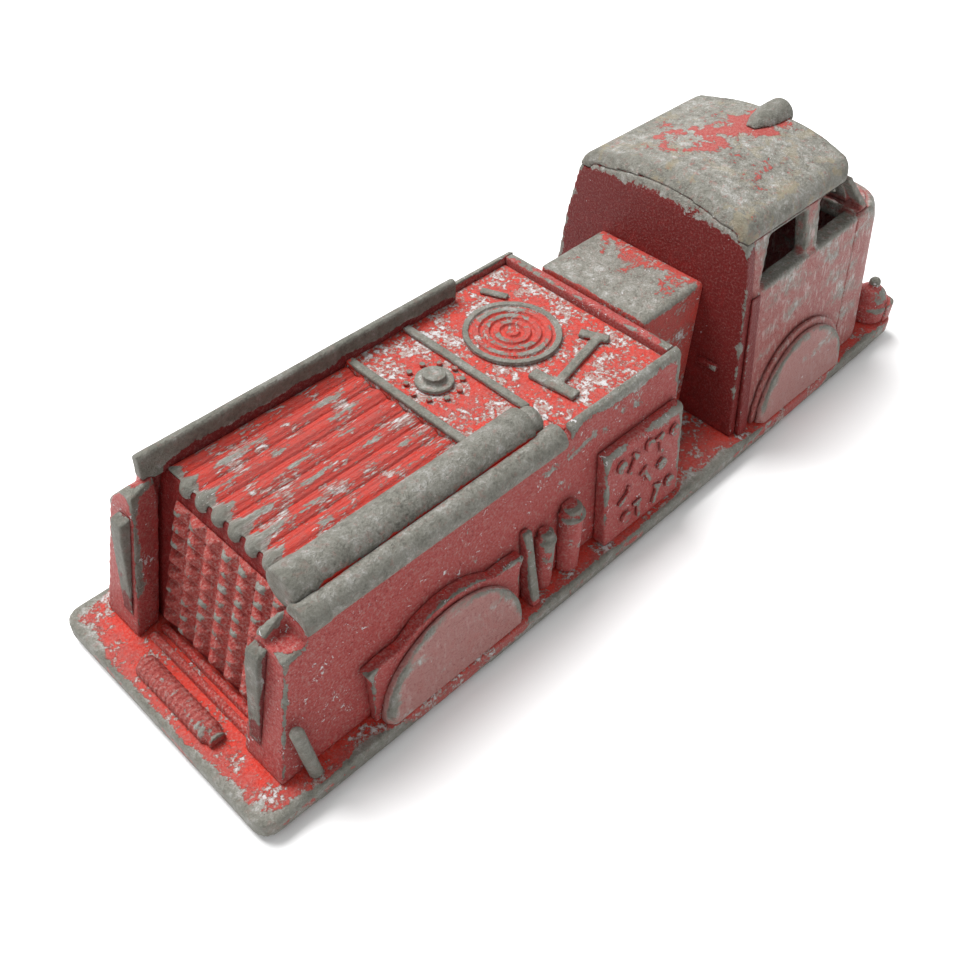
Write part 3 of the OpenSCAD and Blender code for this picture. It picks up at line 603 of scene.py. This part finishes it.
# ---------------------------------------------------------------- shaping
# Shape, wear and groove-shade functions take points and outward normals; a groove-shade function
# gives painted shade for grooves. Lengths in them are in millimetres, and a shape function gives
# how far the skin moves outward.
ROLL_PITCH = 0.85
HOSE_PITCH = 3
LINING_PITCH = HOSE_PITCH / 2


def corner(node, which):
    return np.array(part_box(node)[which]) / MM


def fade(d, near, far):
    """1 within the distance near, falling to 0 at the distance far."""
    return np.clip((far - d) / (far - near), 0, 1)


def roll_rings(y):
    return 0.5 + 0.5 * np.sin(2 * np.pi * y / ROLL_PITCH)


def seams(y, pitch, at, narrow):
    return (0.5 + 0.5 * np.cos(2 * np.pi * (y - at) / pitch)) ** narrow


def lining_seams(y):
    return seams(y, LINING_PITCH, LINING_PITCH / 2, 6)


def hose_gaps(y):
    return seams(y, HOSE_PITCH, HOSE_PITCH / 2, 20)


def grooved_roll(p, n):
    return -0.10 * roll_rings(p[:, 1] / MM) * (n[:, 2] > -0.2)


def canvas_hose(p, n):
    x, y = p[:, 0] / MM, p[:, 1] / MM
    rear = corner("packed_hose_top", 0)[0]
    crest = np.clip(n[:, 2], 0, 1) * (1 - fade(x - rear, 1, 2.5))
    weave = 0.5 + 0.5 * np.sin(2 * np.pi * x / 0.9 + 2.2 * noise(p, 5 * MM, 2))
    return -crest * (0.16 * lining_seams(y) + 0.25 * hose_gaps(y) + 0.03 * weave)


SHAPES = {"rear_step_hose": grooved_roll, "packed_hose_top": canvas_hose}


# ---------------------------------------------------------------- local wear and painted groove shade
def bed_wear(p, n):
    """The folds at the rear are bare."""
    rear = corner("packed_hose_top", 0)[0]
    return 0.75 * fade(p[:, 0] - rear, 1.2, 3.2)


def coil_wear(p, n):
    """Most wear on the outer turn, and a little along the tops of the others."""
    a, b = corner("hose_coil", 0), corner("hose_coil", 1)
    middle, radius = (a + b) / 2, (b[0] - a[0]) / 2
    out = np.hypot(p[:, 0] - middle[0], p[:, 1] - middle[1])
    rim = 0.7 * fade(np.abs(out - radius + 0.4), 0.4, 0.9)
    return rim + 0.18 * (p[:, 2] > b[2] - 0.15)


def roof_wear(p, n):
    """Paint is left in a broken patch on the roof and round the foot of the beacon."""
    a, b = corner("cab_roof", 0), corner("cab_roof", 1)
    spot = a + (b - a) * np.array([0.42, 0.62, 1])
    lamp_foot = corner("roof_beacon", 0) * np.array([1, 0, 1])
    from_spot = np.hypot(p[:, 0] - spot[0], p[:, 1] - spot[1])
    from_lamp = np.hypot(p[:, 0] - lamp_foot[0], p[:, 1] - lamp_foot[1])
    broken = noise(p * MM, 1.6 * MM, 3, 0.7)
    return -(0.50 + 0.6 * broken) * fade(from_spot, 1, 7) - 0.4 * fade(from_lamp, 1.5, 4.5)


def rear_wall_wear(p, n):
    """A ragged bare band under the arched top edge."""
    half_width, top = corner("cab_rear_wall", 1)[1:]
    crown = top - 2.2 * (p[:, 1] / half_width) ** 2
    ragged = 0.5 * noise(p * MM, 2.5 * MM, 3, 0.6)
    return (1.1 + ragged) * fade(crown - p[:, 2], -0.2, 2.2)


def wall_wear(p, n):
    """The narrow rear ends of the walls kept their paint."""
    return -0.4 * (n[:, 0] < -0.6)


# Painted shade in the gaps and seams between the folded hoses, on faces that look up, ahead of
# the folds.
def bed_groove_shade(p, n):
    ahead_of_folds = 1 - fade(p[:, 0] - corner("packed_hose_top", 0)[0], 0.8, 2)
    lines = 0.35 * lining_seams(p[:, 1]) + 0.85 * hose_gaps(p[:, 1])
    return n[:, 2].clip(0, 1) * ahead_of_folds * lines.clip(0, 1)


# Painted shade in the grooves of the rolled hose.
def roll_groove_shade(p, n):
    return 0.35 * roll_rings(p[:, 1]) ** 2


# which pieces get painted shade in their grooves
GROOVE_SHADES = {"packed_hose_top": bed_groove_shade, "rear_step_hose": roll_groove_shade}
RUBS = {"packed_hose_top": bed_wear, "hose_coil": coil_wear, "cab_roof": roof_wear,
        "cab_rear_wall": rear_wall_wear, "left_side_wall": wall_wear,
        "right_side_wall": wall_wear}

# ---------------------------------------------------------------- the pieces
# skin resolution in millimetres, how many times the skin is smoothed, and how uneven it is
VOXEL = {
    "running_board": 0.33, "hose_bed_shell": 0.32, "engine_cover": 0.32, "cab_nose": 0.3,
    "left_side_wall": 0.28, "cab_roof": 0.26, "cab_left_side": 0.26, "cab_rear_wall": 0.26,
    "packed_hose_top": 0.2, "packed_hose_rear": 0.16, "rear_step_hose": 0.16,
    "rear_step_bars": 0.15, "corner_post": 0.16, "left_grab_strap": 0.18,
    "right_grab_strap": 0.18, "deck_ribs": 0.16, "filler_cap": 0.15, "filler_cap_bolts": 0.12,
    "hose_coil": 0.15, "hydrant_wrench": 0.16, "hose_spanner": 0.16,
    "left_pump_controls": 0.15, "right_pump_controls": 0.15, "small_extinguishers": 0.18,
    "large_extinguishers": 0.18, "cab_step": 0.14, "cab_corner_beads": 0.18,
    "windscreen_frame": 0.18, "roof_beacon": 0.18, "bell": 0.18, "siren": 0.18,
    "headlamps": 0.18, "radiator_grille": 0.18,
}
SMOOTH = {
    "filler_cap_bolts": 1, "cab_roof": 1, "cab_rear_wall": 1, "packed_hose_rear": 2,
    "hose_coil": 2, "windscreen_frame": 2, "cab_left_side": 3, "cab_right_side": 3,
    "running_board": 5, "hose_bed_shell": 5, "engine_cover": 5, "left_side_wall": 5,
    "right_side_wall": 5,
}
SKIN = {"cab_roof": 0.01, "cab_rear_wall": 0.01}

for node in NODES:
    if node.endswith("_wheel"):
        piece = cast_piece(node, 0.22, 3, 0.04)
        piece.data.materials.append(RUBBER)
    elif node.endswith("_axle"):
        piece = cast_piece(node, 0.15, 2, 0.02)
        piece.data.materials.append(STEEL)
    else:
        piece = cast_piece(node, VOXEL.get(node, 0.24), SMOOTH.get(node, 4), SKIN.get(node, 0.06),
                           SHAPES.get(node), RUBS.get(node), GROOVE_SHADES.get(node))
        piece.data.materials.append(LOOK[node])


# ---------------------------------------------------------------- stage, light and camera
def floor_material():
    g = Tree("pale_floor")
    c = g.ramp(g.noise(0.01, 2, 0.5), (0.3, (0.90, 0.90, 0.90)), (0.7, (0.93, 0.93, 0.93)))
    g.link(c, g.bsdf.inputs["Base Color"])
    g.bsdf.inputs["Roughness"].default_value = 0.9
    g.bsdf.inputs["Specular IOR Level"].default_value = 0.1
    return g.mat


FLOOR_HALF = 3.0
me = bpy.data.meshes.new("floor")
corners = [(-FLOOR_HALF, -FLOOR_HALF, 0), (FLOOR_HALF, -FLOOR_HALF, 0),
           (FLOOR_HALF, FLOOR_HALF, 0), (-FLOOR_HALF, FLOOR_HALF, 0)]
me.from_pydata(corners, [], [(0, 1, 2, 3)])
floor = bpy.data.objects.new("floor", me)
bpy.context.scene.collection.objects.link(floor)
me.materials.append(floor_material())

world = bpy.data.worlds.new("studio")
bpy.context.scene.world = world
world.use_nodes = True
sky = world.node_tree.nodes["Background"]
sky.inputs["Color"].default_value = (1, 1, 1, 1)
sky.inputs["Strength"].default_value = 0.69


def lamp(name, place, aim, size, power):
    data = bpy.data.lights.new(name, "AREA")
    data.shape = "DISK"
    data.size = size
    data.energy = power
    ob = bpy.data.objects.new(name, data)
    ob.location = place
    ob.rotation_mode = "QUATERNION"
    ob.rotation_quaternion = (Vector(aim) - Vector(place)).to_track_quat("-Z", "Y")
    bpy.context.scene.collection.objects.link(ob)


lamp("key", (-0.06, 0.36, 0.70), (0, 0, 0.015), 0.5, 10.6)

# the camera looks down at the rear right corner, a little tilted
AZIMUTH, ELEVATION, ROLL = (math.radians(v) for v in (-47.044, 45.383, 2.300))
CAMERA_PLACE = Vector((-0.08977, -0.07170, 0.11131))
SENSOR = 36
LENS_PER_WIDTH = 1.13359375
cam = bpy.data.cameras.new("camera")
cam.sensor_width = SENSOR
cam.lens = LENS_PER_WIDTH * SENSOR
cam.clip_start = 0.005
cam.clip_end = 20
camera = bpy.data.objects.new("camera", cam)
bpy.context.scene.collection.objects.link(camera)
back = Vector((math.sin(AZIMUTH) * math.cos(ELEVATION), -math.cos(AZIMUTH) * math.cos(ELEVATION),
               math.sin(ELEVATION)))
level = Vector((math.cos(AZIMUTH), math.sin(AZIMUTH), 0))
rise = back.cross(level)
right = level * math.cos(ROLL) + rise * math.sin(ROLL)
above = rise * math.cos(ROLL) - level * math.sin(ROLL)
turn = Matrix((right, above, back)).transposed().to_4x4()
camera.matrix_world = Matrix.Translation(CAMERA_PLACE) @ turn
bpy.context.scene.camera = camera
bpy.context.scene.view_settings.view_transform = "Standard"
